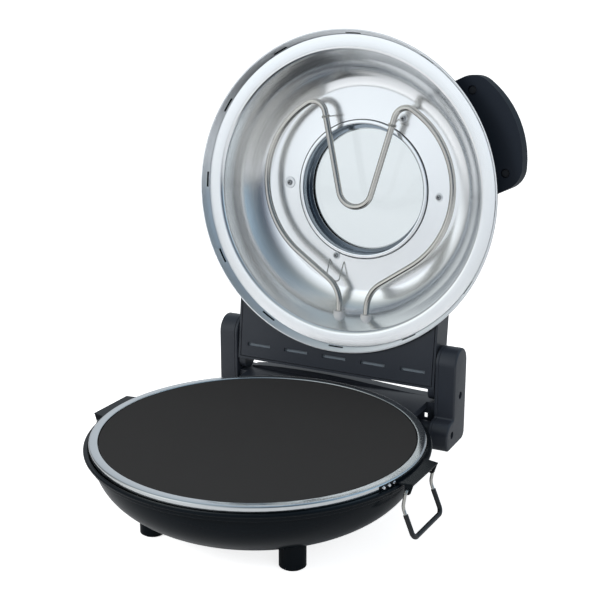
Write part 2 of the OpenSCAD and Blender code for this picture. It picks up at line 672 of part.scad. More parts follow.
// Bright ring at the floor, turned up into the window's tunnel, with a seat for the glass
module window_collar() color("#d5d8da") at_lid() rotate_extrude()
  polygon([[collar_r - 1.2, floor_depth - 1.6], [window_r - 0.8, floor_depth - 1.6], [window_r, floor_depth - 0.8],
           [window_r, floor_depth], [collar_r, floor_depth], [collar_r, lid_h], [collar_r - 1, lid_h],
           [collar_r - 1, glass_depth - 1], [collar_r - 5.5, glass_depth - 1], [collar_r - 5.5, glass_depth - 2],
           [collar_r - 1.8, glass_depth - 2], [collar_r - 1.2, glass_depth - 2.6]]);

module window_glass() color([0.8, 0.9, 0.9, 0.4]) at_lid() translate([0, 0, glass_depth])
  cylinder(r = glass_r, h = glass_t);

module window_gasket() color("#3a3c40") at_lid() rotate_extrude()
  translate([collar_r - 5.5, glass_depth - 1]) square([4.5, 1]);

module window_ring() color("#c3c6c9") at_lid() rotate_extrude()
  polygon([[collar_r - 7, lid_h], [window_r + 6, lid_h], [window_r + 6, lid_h + 1.2], [window_r + 3.5, lid_h + 3.6],
           [collar_r - 4, lid_h + 3.6], [collar_r - 7, lid_h + 1.6]]);

// ---- Upper heater ----

// The heater's run: a leg, the slanted lead, the wide side, the small lobe and the middle loop, and back.
// Its two legs stand a little to the right of the middle.
leg_end = dome_r - 6;
leg_places = [20.5, -12.5];
span = floor_r / 119;
run_x = -1;
run_y = 2;

function heater_half(side, leg) = [[leg, leg_end, 0, 0], [leg, 108 * span + run_y, 0, 34],
  [side * 190 * span + run_x, -10.5 * span + run_y, 0, 99 * span],
  [side * 46 * span + run_x, -104 * span + run_y, 0, 14]];
element_path = concat(heater_half(1, leg_places[0]), [[run_x, 74 * span + run_y, 0, 19.5]],
  reversed(heater_half(-1, leg_places[1])));

module upper_element() color("#77756f") at_lid() translate([0, 0, element_depth]) {
  bar(element_path, element_d);
  for (x = leg_places) translate([x, leg_end - 1, 0]) rotate([-90, 0, 0]) cylinder(r = 1.45, h = 5);
}

bush_r = element_d / 2 + 2.6;

module upper_element_bushes() color("#efece4") at_lid() for (x = leg_places) difference() {
  translate([x, leg_end - 10.5, element_depth]) rotate([-90, 0, 0]) cylinder(r = bush_r, h = 10);
  translate([x, leg_end - 12, element_depth]) rotate([-90, 0, 0]) cylinder(d = element_d, h = 14);
}

clip_d = 1.3;
clip_turns = 2;
inner_leg_turn = atan2(178 * span, -46 * span);

// Turns of thin wire round the heater, at a place on one of its straight inner legs
module wound_clip(x, y, turn) translate([x, y, element_depth]) rotate([0, 0, turn]) rotate([0, 90, 0])
  for (i = [0 : clip_turns - 1]) translate([0, 0, (i - (clip_turns - 1) / 2) * (clip_d + 0.02)])
    rotate_extrude() translate([(element_d + clip_d) / 2 + 0.03, 0]) circle(d = clip_d);

// The place on an inner leg at a given distance y
function inner_leg(side, y) = [run_x + side * 46 * span * (74 * span + run_y - y) / (178 * span), y];
clip_back = element_depth + element_d / 2 + clip_d / 2 + 0.03;

// Thin wires that hang the heater from the floor: two wound on its inner legs, and a loop under its lead
module element_clips() color("#c4c2bb") at_lid() {
  right = inner_leg(1, -74 * span);
  left = inner_leg(-1, -78 * span);
  foot = floor_depth - clip_d / 2 + 0.1;
  wound_clip(right[0], right[1], inner_leg_turn);
  wound_clip(left[0], left[1], -inner_leg_turn);
  bar([[right[0], right[1], clip_back, 0], [floor_screws[3][0] - 5.5, floor_screws[3][1] + 1.5, floor_depth - clip_d / 2, 0]], clip_d - 0.1);
  translate([left[0], left[1], clip_back]) cylinder(d = clip_d - 0.1, h = floor_depth - clip_back);
  bar([[floor_screws[2][0] - 7.5, floor_screws[2][1] + 5.7, foot, 0], [floor_screws[2][0] - 4.3, floor_screws[2][1] + 21, clip_back, 3],
       [floor_screws[2][0] + 10.4, floor_screws[2][1] + 28.5, clip_back, 3], [floor_screws[2][0] + 10.1, floor_screws[2][1] + 6.6, foot, 0]], clip_d);
}

module upper_thermostat() color("#c9c7c0") at_lid() translate([window_r / 2 + 30, window_r / 2 + 30, floor_depth + reflector_sheet]) {
  cylinder(r = 8, h = 8);
  for (s = [-1, 1]) block([s * 5 - 3, -0.4, 8], [s * 5 + 3, 0.4, 12]);
}

// ---- Lid handle ----

handle_pocket = 4;
handle_screw_x = lid_r - 5.5;
handle_screw_y = handle_half - 16;
edge_x = handle_reach - handle_edge_r;
corner_y = handle_half - handle_corner_r;
corner_turn = asin(corner_y / (handle_edge_r - handle_corner_r));
corner_x = edge_x + (handle_edge_r - handle_corner_r) * cos(corner_turn);

function arc_points(cx, cy, r, from, to, steps) =
  [for (i = [0 : steps]) let (a = from + (to - from) * i / steps) [cx + r * cos(a), cy + r * sin(a)]];

// Outline of the handle: a long curved edge, two round corners, and straight ends that run in to the dome
handle_outline = concat([[dome_flat_r + 30, -handle_half]],
  arc_points(corner_x, -corner_y, handle_corner_r, -90, -corner_turn, 8),
  arc_points(edge_x, 0, handle_edge_r, -corner_turn + 5, corner_turn - 5, 10),
  arc_points(corner_x, corner_y, handle_corner_r, corner_turn, 90, 8),
  [[dome_flat_r + 30, handle_half]]);

module lid_handle() color("#1d2026") at_lid() rotate([0, 0, handle_turn - 90]) difference() {
  translate([0, 0, handle_depth]) linear_extrude(handle_t) polygon(handle_outline);
  shell_envelope();
  for (s = [-1, 1]) translate([handle_screw_x, s * handle_screw_y, handle_depth - 1]) {
    cylinder(r = screw_head_r + 1, h = handle_pocket + 1);
    cylinder(r = screw_r, h = handle_pocket + 9);
  }
}

module handle_screws() color("#4a4c50") at_lid() rotate([0, 0, handle_turn - 90])
  for (s = [-1, 1]) translate([handle_screw_x, s * handle_screw_y, handle_depth + handle_pocket]) {
    translate([0, 0, -2]) cylinder(r = screw_head_r, h = 2);
    cylinder(r = screw_r, h = 8);
  }

// ---- Hinge housing on the lid ----

housing_rim = 2.5;
housing_wall = 4;
housing_skin = 2.5;
housing_top = dome_r - 47;
plate_t = 2;
plate_half = housing_half - housing_rim - 0.8;
plate_reach = housing_reach - housing_rim - 0.8;
vent_y = plate_reach - 14;
vent_h = 3.6;
baffle_gap = 1.5;
plate_gap = 1.2;
arm_in = housing_half - housing_wall - 0.1 - arm_t;
hub_y = hinge_y - 9;
hub_play = 0.15;

// Round nose that carries the pin: flush with the housing's side, and below its lower edge
module hub(play) {
  block([arm_in - play, hub_y - play, hinge_depth - arm_end_r - play],
        [housing_half + play, hinge_y + arm_end_out, hinge_depth + arm_end_r + play]);
  rod_x(arm_in - play, housing_half + play, hinge_y + arm_end_out, hinge_depth, arm_end_r + play);
}

// Box with a thin rim round the front plate, and a narrow ledge behind the plate
module hinge_housing() color("#26292e") at_lid() difference() {
  block([-housing_half, housing_top, housing_front], [housing_half, housing_reach, housing_back]);
  block([-housing_half + housing_wall, housing_top - 1, housing_front - 1], [housing_half - housing_wall,
        housing_reach - housing_wall, housing_back - housing_skin]);
  block([-housing_half + housing_rim, housing_top - 2, housing_front - 2], [housing_half - housing_rim,
        housing_reach - housing_rim, housing_front + plate_t]);
  shell_envelope();
  both_sides() {
    hub(hub_play);
    for (q = arm_screw_places) rod_x(housing_half - housing_wall - 1, housing_half - 0.8, q[0], q[1], 1.5);
  }
}

module housing_front_plate() color("#2b2e33") at_lid() difference() {
  block([-plate_half, housing_top + 10, housing_front], [plate_half, plate_reach, housing_front + plate_t]);
  translate([0, 0, -1]) cylinder(r = lid_r + plate_gap, h = 20);
  for (i = [0 : vent_count - 1]) translate([(i - (vent_count - 1) / 2) * vent_pitch, vent_y, 0])
    block([-vent_length / 2, -vent_h / 2, 0], [vent_length / 2, vent_h / 2, 10]);
}

module housing_baffle() color("#8b8e91") at_lid() difference() {
  block([-housing_half + housing_wall, vent_y - 5, housing_front + plate_t + baffle_gap],
        [housing_half - housing_wall, housing_reach - housing_wall, housing_front + plate_t + baffle_gap + 1]);
  both_sides() {
    hub(hub_play);
    block([arm_in - hub_play, 0, housing_front], [housing_half, hinge_y, housing_back]);
  }
}

arm_screw_places = [[hinge_y - 48, hinge_depth + 7], [hinge_y - 23, hinge_depth + 7]];

// Side plate inside the housing, with the hub at its lower end
module hinge_arm() difference() {
  union() {
    block([arm_in, housing_top + 18, housing_front + plate_t + 0.1],
          [arm_in + arm_t, hub_y + 1, housing_back - housing_skin - 0.1]);
    hub(0);
  }
  shell_envelope();
  rod_x(arm_in - 1, housing_half + 1, hinge_y, hinge_depth, pin_r + pin_play);
  for (q = arm_screw_places) rod_x(arm_in - 1, arm_in + arm_t + 1, q[0], q[1], 1.5);
}

module right_hinge_arm() color("#24272c") at_lid() hinge_arm();
module left_hinge_arm() color("#24272c") at_lid() mirror([1, 0, 0]) hinge_arm();

module arm_screws() color("#8f9194") at_lid() both_sides() for (q = arm_screw_places) {
  rod_x(arm_in - 1.3, arm_in, q[0], q[1], 3);
  rod_x(arm_in, housing_half - 0.8, q[0], q[1], 1.5);
}

base_bowl();
base_liner();
lower_element();
lower_element_bushes();
lower_element_brackets();
lower_thermostat();
hinge_bridge();
rear_cover();
rear_cover_screws();
cord_grommet();
terminal_block();
foot_front_left();
foot_front_right();
foot_rear_left();
foot_rear_right();
foot_pads();
foot_screws();
tray_ring();
baking_stone();
left_shield();
right_shield();
shield_rivets();
left_bail();
left_bail_sleeve();
right_bail();
right_bail_sleeve();
left_tower();
right_tower();
left_tower_cover();
right_tower_cover();
tower_screws();
hinge_pins();
lid_shell();
lid_reflector();
reflector_screws();
reflector_washers();
reflector_posts();
upper_element();
upper_element_bushes();
element_clips();
upper_thermostat();
window_collar();
window_glass();
window_gasket();
window_ring();
lid_handle();
handle_screws();
hinge_housing();
housing_front_plate();
housing_baffle();
left_hinge_arm();
right_hinge_arm();
arm_screws();
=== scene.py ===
from math import pi, radians

import bmesh
import bpy
from mathutils import Matrix, Vector


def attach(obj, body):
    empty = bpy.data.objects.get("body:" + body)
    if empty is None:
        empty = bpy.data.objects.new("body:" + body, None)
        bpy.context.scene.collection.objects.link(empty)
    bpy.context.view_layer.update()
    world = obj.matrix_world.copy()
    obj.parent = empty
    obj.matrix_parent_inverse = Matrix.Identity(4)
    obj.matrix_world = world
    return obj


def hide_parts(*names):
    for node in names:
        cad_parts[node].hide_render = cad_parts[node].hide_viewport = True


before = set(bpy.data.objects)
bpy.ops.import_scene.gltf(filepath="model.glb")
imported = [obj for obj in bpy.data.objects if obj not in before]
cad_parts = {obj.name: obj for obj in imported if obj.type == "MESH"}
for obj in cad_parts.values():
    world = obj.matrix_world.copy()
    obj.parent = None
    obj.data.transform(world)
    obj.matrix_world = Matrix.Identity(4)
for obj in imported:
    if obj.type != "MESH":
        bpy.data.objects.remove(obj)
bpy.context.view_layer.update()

scene = bpy.context.scene
scene.view_settings.view_transform = "Standard"


# ---- Camera ----
# A long lens, a little higher than the open lid and to the machine's right.
# It looks down on the stone, and into the hollow of the lid.

EYE = (0.56955, -1.10771, 0.59138)
LOOK_DOWN, TURN_LEFT = radians(16.919), radians(26.418)
FOCAL_LENGTH, SENSOR_WIDTH = 78.6, 36.0

lens = bpy.data.cameras.new("view")
lens.lens, lens.sensor_width = FOCAL_LENGTH, SENSOR_WIDTH
view = bpy.data.objects.new("view", lens)
view.location = EYE
view.rotation_euler = (pi / 2 - LOOK_DOWN, 0, TURN_LEFT)
scene.collection.objects.link(view)
scene.camera = view


# ---- Studio ----
# A white floor that keeps the machine's shadow, a pale room, and three soft lamps.
# Polished metal sees six soft cards, the brightest at the front left, with a darker room between them.

def node(tree, kind, inputs=None, **settings):
    """Adds a shader node. inputs maps sockets to values, or to the socket that feeds them."""
    made = tree.nodes.new("ShaderNode" + kind)
    for key, value in settings.items():
        setattr(made, key, value)
    for key, value in (inputs or {}).items():
        if isinstance(value, bpy.types.NodeSocket):
            tree.links.new(value, made.inputs[key])
        else:
            made.inputs[key].default_value = value
    return made


def math_node(tree, operation, *values):
    """Adds a Math node, and returns its result."""
    return node(tree, "Math", dict(enumerate(values)), operation=operation).outputs[0]


# The cards, as [direction from the machine, colour]
CARDS = [
    ((-0.58, -0.80, 0.14), (1.05, 1.09, 1.10)),  # front left
    ((-0.29, -0.71, 0.64), (0.20, 0.21, 0.17)),  # front, high up
    ((0.0, -0.99, 0.14), (0.04, 0.07, 0.15)),  # front
    ((0.94, 0.31, 0.14), (0.57, 0.80, 1.00)),  # right
    ((0.0, 0.26, 0.97), (0.31, 0.43, 0.55)),  # overhead
    ((-0.50, 0.83, 0.25), (0.64, 0.68, 0.72)),  # back left
]
CARD_FADE = 8.0
AMBIENT, AMBIENT_STRENGTH = (0.93, 0.97, 1.0, 1), 0.5
WHITE = (1, 1, 1, 1)

world = bpy.data.worlds.new("studio")
scene.world = world
world.use_nodes = True
tree = world.node_tree
tree.nodes.clear()
ray = node(tree, "LightPath")
seen = math_node(tree, "MAXIMUM", ray.outputs["Is Camera Ray"], ray.outputs["Is Transmission Ray"])
where = node(tree, "TexCoord").outputs["Generated"]
glow = None
for aim, colour in CARDS:
    facing = node(tree, "VectorMath", {0: where, 1: Vector(aim).normalized()}, operation="DOT_PRODUCT").outputs["Value"]
    faded = math_node(tree, "POWER", math_node(tree, "MULTIPLY_ADD", facing, 0.5, 0.5), CARD_FADE)
    lit = node(tree, "VectorMath", {0: colour, 1: faded}, operation="MULTIPLY").outputs[0]
    glow = node(tree, "VectorMath", {0: glow, 1: lit}, operation="ADD").outputs[0] if glow else lit
ambient = node(tree, "Background", {"Color": AMBIENT, "Strength": AMBIENT_STRENGTH})
mirrored = node(tree, "Background", {"Color": glow, "Strength": 1.0})
white = node(tree, "Background", {"Color": WHITE, "Strength": 1.0})
room = node(tree, "MixShader", {0: ray.outputs["Is Glossy Ray"], 1: ambient.outputs[0], 2: mirrored.outputs[0]})
room = node(tree, "MixShader", {0: seen, 1: room.outputs[0], 2: white.outputs[0]})
node(tree, "OutputWorld", {"Surface": room.outputs[0]})


def soft_lamp(name, place, aim, size, power, colour=(1, 1, 1)):
    data = bpy.data.lights.new(name, "AREA")
    data.shape, data.size, data.energy, data.color = "DISK", size, power, colour
    lamp = bpy.data.objects.new(name, data)
    lamp.location = place
    lamp.rotation_euler = (Vector(aim) - Vector(place)).to_track_quat("-Z", "Y").to_euler()
    lamp.visible_glossy = lamp.visible_transmission = False
    scene.collection.objects.link(lamp)


soft_lamp("key_lamp", (-1.1, -1.7, 1.35), (0, 0, 0.2), 0.8, 23)
soft_lamp("fill_lamp", (1.7, -1.2, 1.1), (0, 0, 0.15), 1.4, 10, (0.82, 0.90, 1.0))
soft_lamp("top_lamp", (0.1, 0.3, 2.2), (0, 0, 0.1), 1.8, 6)

# The floor's own glow, as the camera sees it and as it shows through the window's glass
FLOOR_HALF = 9.0
FLOOR_TONE, FLOOR_GLOW, GLOW_THROUGH_GLASS = (0.86, 0.86, 0.86, 1), 0.80, 0.42

bm = bmesh.new()
bmesh.ops.create_grid(bm, x_segments=1, y_segments=1, size=FLOOR_HALF)
floor_mesh = bpy.data.meshes.new("floor")
bm.to_mesh(floor_mesh)
bm.free()
floor = bpy.data.objects.new("floor", floor_mesh)
scene.collection.objects.link(floor)
floor_paper = bpy.data.materials.new("floor_paper")
floor_paper.use_nodes = True
tree = floor_paper.node_tree
tree.nodes.clear()
ray = node(tree, "LightPath")
through = math_node(tree, "MULTIPLY", ray.outputs["Is Transmission Ray"], GLOW_THROUGH_GLASS)
glow = math_node(tree, "MULTIPLY_ADD", ray.outputs["Is Camera Ray"], FLOOR_GLOW, through)
paper = node(tree, "BsdfDiffuse", {"Color": FLOOR_TONE})
lift = node(tree, "Emission", {"Color": WHITE, "Strength": glow})
both = node(tree, "AddShader", {0: paper.outputs[0], 1: lift.outputs[0]})
node(tree, "OutputMaterial", {"Surface": both.outputs[0]})
floor_mesh.materials.append(floor_paper)


# ---- Base bowl ----
# Deep-drawn steel bowl under the stone, painted black inside and out.
# Its rim is rolled outwards over a narrow groove, and the flat bottom is pressed in last.

# Sizes are in millimetres from here on. Points closer than MERGE become one.
MM = 0.001
MERGE = 0.002
AT_STONE = Matrix.Translation((0, -54, 0))
BOWL_SHEET = 1.5
BOWL_BOTTOM, BOWL_SHOULDER = 11.0, 76.7
BOWL_FLAT_R, BOWL_R = 53.0, 162.0
BAND_R, LIP_R = 167.7, 171.0
LIP_LOW, LIP_TOP = 81.5, 84.5
BAND_ROUND, LIP_ROUND = 0.8, 1.2
# Depth of the grain that every finish has, in metres
GRAIN_DEPTH = 0.0001


def group(name, sockets_in, sockets_out):
    """Starts a node group for an effect that several materials share."""
    made = bpy.data.node_groups.new(name, "ShaderNodeTree")
    for label, kind, value in sockets_in:
        socket = made.interface.new_socket(label, in_out="INPUT", socket_type="NodeSocket" + kind)
        if value is not None:
            socket.default_value = value
    for label, kind in sockets_out:
        made.interface.new_socket(label, in_out="OUTPUT", socket_type="NodeSocket" + kind)
    return made, made.nodes.new("NodeGroupInput"), made.nodes.new("NodeGroupOutput")


# Mottle: slow drift of tone and gloss over a surface, with a fine grain on top.
mottle, given, result = group("mottle",
    [("Tone", "Color", (0.5, 0.5, 0.5, 1)), ("Other Tone", "Color", (0.5, 0.5, 0.5, 1)), ("Drift Scale", "Float", 30.0),
     ("Grain Scale", "Float", 1500.0), ("Gloss Low", "Float", 0.3), ("Gloss High", "Float", 0.4)],
    [("Color", "Color"), ("Roughness", "Float"), ("Height", "Float")])
place = node(mottle, "TexCoord").outputs["Object"]
drift = node(mottle, "TexNoise", {"Vector": place, "Scale": given.outputs["Drift Scale"], "Detail": 3.0})
grain = node(mottle, "TexNoise", {"Vector": place, "Scale": given.outputs["Grain Scale"], "Detail": 2.0})
tone = node(mottle, "Mix", {0: drift.outputs["Fac"], 6: given.outputs["Tone"], 7: given.outputs["Other Tone"]},
            data_type="RGBA")
gloss = node(mottle, "MapRange", {"Value": grain.outputs["Fac"], "From Min": 0.3, "From Max": 0.7,
                                  "To Min": given.outputs["Gloss Low"], "To Max": given.outputs["Gloss High"]})
mottle.links.new(tone.outputs[2], result.inputs["Color"])
mottle.links.new(gloss.outputs[0], result.inputs["Roughness"])
mottle.links.new(grain.outputs["Fac"], result.inputs["Height"])


def finish(name, values, strength=0.1, build=None):
    """A material around one Principled shader. build(tree) may give sockets for its colour, roughness and height."""
    made = bpy.data.materials.new(name)
    made.use_nodes = True
    tree = made.node_tree
    shader = tree.nodes["Principled BSDF"]
    for key, value in values.items():
        shader.inputs[key].default_value = value
    sockets = build(tree) if build else {}
    for key in ("Base Color", "Roughness"):
        if key in sockets:
            tree.links.new(sockets[key], shader.inputs[key])
    if "Height" in sockets:
        bump = node(tree, "Bump", {"Height": sockets["Height"], "Strength": strength, "Distance": GRAIN_DEPTH})
        tree.links.new(bump.outputs["Normal"], shader.inputs["Normal"])
    return made


def mottled(name, tone, other, gloss, drift_scale=30.0, grain_scale=1500.0, strength=0.1, **values):
    """A finish that drifts between two tones. gloss is its lowest and highest roughness."""
    def build(tree):
        made = node(tree, "Group", {"Tone": (*tone, 1), "Other Tone": (*other, 1), "Drift Scale": drift_scale,
                                    "Grain Scale": grain_scale, "Gloss Low": gloss[0], "Gloss High": gloss[1]},
                    node_tree=mottle)
        return {"Base Color": made.outputs["Color"], "Roughness": made.outputs["Roughness"],
                "Height": made.outputs["Height"]}
    return finish(name, values, strength, build)


black_paint = mottled("black_paint", (0.0024, 0.0043, 0.0064), (0.0036, 0.0060, 0.0085), (0.18, 0.24),
                      grain_scale=900.0, strength=0.06, **{"Specular IOR Level": 0.10})


def line(bm, points, closed=False):
    """Joins points [radius, height] in the XZ plane, and returns their vertices."""
    verts = [bm.verts.new((x, 0, z)) for x, z in points]
    for a, b in zip(verts, verts[1:] + verts[:1] if closed else verts[1:]):
        bm.edges.new((a, b))
    return verts


def bulge(bm, inner, outer, low, high, steps=32):
    """A quarter of an ellipse, level at (inner, low) and upright at (outer, high)."""
    before = set(bm.verts)
    bmesh.ops.spin(bm, geom=[bm.verts.new((1, 0, 0))], cent=(0, 0, 0), axis=(0, 1, 0), angle=pi / 2, steps=steps)
    arc = [v for v in bm.verts if v not in before]
    bmesh.ops.scale(bm, verts=arc, vec=(outer - inner, 1, high - low))
    bmesh.ops.translate(bm, verts=arc, vec=(inner, 0, high))


def ease(bm, verts, reach, segments=5):
    """Rounds the corners of a line, starting at reach from each corner."""
    bmesh.ops.bevel(bm, geom=verts, offset=reach, offset_type="OFFSET", segments=segments, profile=0.5,
                    affect="VERTICES", material=-1)


def turn(bm, steps=160):
    """Turns the outline round the Z axis into a closed or open skin."""
    bmesh.ops.remove_doubles(bm, verts=bm.verts[:], dist=MERGE)
    bmesh.ops.spin(bm, geom=bm.verts[:] + bm.edges[:], cent=(0, 0, 0), axis=(0, 0, 1), angle=2 * pi, steps=steps,
                   use_merge=True)
    bmesh.ops.remove_doubles(bm, verts=bm.verts[:], dist=MERGE)
    bmesh.ops.recalc_face_normals(bm, faces=bm.faces[:])


def piece(bm, name, material, body, place, instead_of=(), sharp=35):
    """Puts a finished form in its place, in metres, and hangs it on its body."""
    bmesh.ops.transform(bm, matrix=Matrix.Scale(MM, 4) @ place, verts=bm.verts[:])
    mesh = bpy.data.meshes.new(name)
    bm.to_mesh(mesh)
    bm.free()
    for each in (material if isinstance(material, (list, tuple)) else [material]):
        mesh.materials.append(each)
    mesh.shade_smooth()
    mesh.set_sharp_from_angle(angle=radians(sharp))
    made = bpy.data.objects.new(name, mesh)
    scene.collection.objects.link(made)
    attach(made, body)
    if instead_of:
        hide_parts(*instead_of)
    return made


bm = bmesh.new()
line(bm, [(0, BOWL_BOTTOM), (BOWL_FLAT_R, BOWL_BOTTOM)])
bulge(bm, BOWL_FLAT_R, BOWL_R, BOWL_BOTTOM, BOWL_SHOULDER)
rim = line(bm, [(BOWL_R, BOWL_SHOULDER), (BAND_R, BOWL_SHOULDER), (BAND_R, LIP_LOW), (LIP_R, LIP_LOW), (LIP_R, LIP_TOP),
                (BAND_R - BOWL_SHEET, LIP_TOP), (BAND_R - BOWL_SHEET, BOWL_SHOULDER + BOWL_SHEET),
                (BOWL_R - BOWL_SHEET, BOWL_SHOULDER + BOWL_SHEET)])
ease(bm, [rim[1]], BAND_ROUND, 3)
ease(bm, rim[3:6], LIP_ROUND, 5)
bulge(bm, BOWL_FLAT_R, BOWL_R - BOWL_SHEET, BOWL_BOTTOM + BOWL_SHEET, BOWL_SHOULDER + BOWL_SHEET)
line(bm, [(BOWL_FLAT_R, BOWL_BOTTOM + BOWL_SHEET), (0, BOWL_BOTTOM + BOWL_SHEET)])
turn(bm)
piece(bm, "bowl", black_paint, "base", AT_STONE, ["base_bowl"])


# ---- Feet ----
# Four round stub feet of black plastic, as glossy as the bowl's paint.
# Each stands on a rubber pad, and a screw from below holds it to the bowl or the bridge.

black_plastic = mottled("black_plastic", (0.0180, 0.0215, 0.0290), (0.0215, 0.0255, 0.0340), (0.36, 0.46),
                        grain_scale=1700.0, strength=0.12, **{"Specular IOR Level": 0.5})
pad_rubber = mottled("pad_rubber", (0.010, 0.010, 0.011), (0.014, 0.014, 0.015), (0.7, 0.85), strength=0.2)


def dress(material, *names):
    """Gives CAD nodes whose shape is right their finish."""
    for name in names:
        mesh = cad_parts[name].data
        mesh.materials.clear()
        mesh.materials.append(material)


# The feet take the bowl's paint, darker than the black plastic: partly their own glossy black, partly painted shade
# from under the bowl.
dress(black_paint, "foot_front_left", "foot_front_right", "foot_rear_left", "foot_rear_right")
dress(pad_rubber, "foot_pads")


# ---- Hinge bridge ----
# One black moulding behind the bowl: a deck, a box with the terminals, and arms out to the towers.
# A cover with vent slots closes its back, round the cord's grommet.

dress(black_plastic, "hinge_bridge", "rear_cover")
dress(pad_rubber, "cord_grommet")


# ---- Hinge towers ----
# Two hollow mouldings that stand on the bridge's arms, each closed by a cover on its inner side.
# Their edges are well rounded, and screws sit deep in two holes in the outer face.

def slab(bm, outline, start, end, corners):
    """Thickens a closed outline of [along, up] points in the YZ plane from x = start to x = end."""
    verts = [bm.verts.new((start, y, z)) for y, z in outline]
    face = bm.faces.new(verts)
    for at, reach in corners:
        ease(bm, [verts[at]], reach, 10)
    grown = bmesh.ops.extrude_face_region(bm, geom=bm.faces[:])["geom"]
    bmesh.ops.translate(bm, verts=[v for v in grown if isinstance(v, bmesh.types.BMVert)], vec=(end - start, 0, 0))
    bmesh.ops.recalc_face_normals(bm, faces=bm.faces[:])


def soften(bm, reach, segments, keep=lambda edge: True, angle=50):
    """Rounds the sharp edges that keep() accepts."""
    edges = [e for e in bm.edges if len(e.link_faces) == 2 and e.calc_face_angle() > radians(angle) and keep(e)]
    bmesh.ops.bevel(bm, geom=edges, offset=reach, offset_type="OFFSET", segments=segments, profile=0.5,
                    affect="EDGES", material=-1)


def cut(target, cutters, solver="EXACT"):
    """Cuts closed forms out of a piece, and drops the cutters."""
    for tool in cutters:
        step = target.modifiers.new("cut", "BOOLEAN")
        step.operation, step.solver, step.object = "DIFFERENCE", solver, tool
    graph = bpy.context.evaluated_depsgraph_get()
    whole = bpy.data.meshes.new_from_object(target.evaluated_get(graph))
    target.modifiers.clear()
    target.data = whole
    for tool in cutters:
        bpy.data.objects.remove(tool)


def cutter(bm, place):
    """A form that is only there to cut with."""
    bmesh.ops.transform(bm, matrix=Matrix.Scale(MM, 4) @ place, verts=bm.verts[:])
    bmesh.ops.recalc_face_normals(bm, faces=bm.faces[:])
    mesh = bpy.data.meshes.new("cutter")
    bm.to_mesh(mesh)
    bm.free()
    made = bpy.data.objects.new("cutter", mesh)
    scene.collection.objects.link(made)
    return made


TOWER_FOOT, TOWER_TOP = 35.0, 141.0
TOWER_FRONT, TOWER_BACK = 173.0, 208.0
TOE_FRONT, TOE_TOP = 153.5, 65.5
TOWER_SIDE = [(TOWER_BACK, TOWER_FOOT), (TOWER_BACK, TOWER_TOP), (TOWER_FRONT, TOWER_TOP), (TOWER_FRONT, TOE_TOP),
              (TOE_FRONT, TOE_TOP), (TOE_FRONT, TOWER_FOOT + 1.5), (TOE_FRONT + 6.5, TOWER_FOOT)]
# Corners of the outline that are rounded, as [corner, reach]
TOWER_ROUND = [(0, 9), (1, 17.4), (2, 17.4), (3, 2.5), (4, 14.4), (5, 8)]
TOWER_IN, TOWER_OUT, TOWER_EDGE = 122.9, 142.0, 2.2
COVER_IN, COVER_OUT, COVER_EDGE = 119.2, 122.7, 0.8
# The two screw holes in the outer face, as [along, up]
SCREW_HOLES = [(190.5, 88.5), (168, 51)]
SCREW_HOLE_R, SCREW_HOLE_DEPTH = 4.2, 6.0


def outer_rim(edge):
    """Whether an edge runs round the tower's outer face."""
    return all(abs(v.co.x) > TOWER_OUT - 1 for v in edge.verts)


for side, label in ((1, "right"), (-1, "left")):
    bm = bmesh.new()
    slab(bm, TOWER_SIDE, side * TOWER_IN, side * TOWER_OUT, TOWER_ROUND)
    soften(bm, TOWER_EDGE, 4, outer_rim)
    tower = piece(bm, label + "_tower_shell", black_plastic, "base", AT_STONE, [label + "_tower"])
    holes = []
    for y, z in SCREW_HOLES:
        bm = bmesh.new()
        bmesh.ops.create_cone(bm, cap_ends=True, segments=40, radius1=SCREW_HOLE_R, radius2=SCREW_HOLE_R,
                              depth=2 * SCREW_HOLE_DEPTH,
                              matrix=Matrix.Translation((side * TOWER_OUT, y, z)) @ Matrix.Rotation(pi / 2, 4, "Y"))
        holes.append(cutter(bm, AT_STONE))
    # The exact solver loses the left tower, and the fast one cuts the right one badly
    cut(tower, holes, "EXACT" if side > 0 else "FAST")
    bm = bmesh.new()
    slab(bm, TOWER_SIDE, side * COVER_IN, side * COVER_OUT, TOWER_ROUND)
    soften(bm, COVER_EDGE, 2)
    piece(bm, label + "_tower_inner_cover", black_plastic, "base", AT_STONE, [label + "_tower_cover"])


# ---- Fasteners of the base ----
# Zinc-plated screws hold the towers, the feet and the rear cover.
# Two plain steel pins carry the lid between the towers.

screw_steel = mottled("screw_steel", (0.42, 0.43, 0.44), (0.52, 0.53, 0.54), (0.25, 0.4), grain_scale=2500.0,
                      strength=0.05, Metallic=1.0)
dress(screw_steel, "tower_screws", "hinge_pins", "foot_screws", "rear_cover_screws")


# ---- Tray ----
# A ring pressed from bright steel, with a slightly crowned top and a rolled outer edge.
# Its inner ledge carries the stone, and it lies a little turned in the bowl.

TRAY_TURN = -2.5
AT_TRAY = AT_STONE @ Matrix.Rotation(radians(TRAY_TURN), 4, "Z")
TRAY_SHEET, TRAY_CROWN = 1.0, 0.3
LEDGE_R, WELL_R, TRAY_R = 147.6, 156.6, 165.5
SEAT_Z, TRAY_TOP = 80.0, 90.3
ROLLED_EDGE, INNER_EDGE = 1.5, 0.7


def metal(name, tone, gloss, grain_scale=600.0, strength=0.02, drift_scale=25.0, other=None):
    """A bare metal. Its other tone is a little darker unless one is given."""
    other = other or tuple(c * 0.95 for c in tone)
    return mottled(name, tone, other, gloss, drift_scale, grain_scale, strength, Metallic=1.0)


bright_steel = metal("bright_steel", (0.66, 0.68, 0.69), (0.10, 0.17))

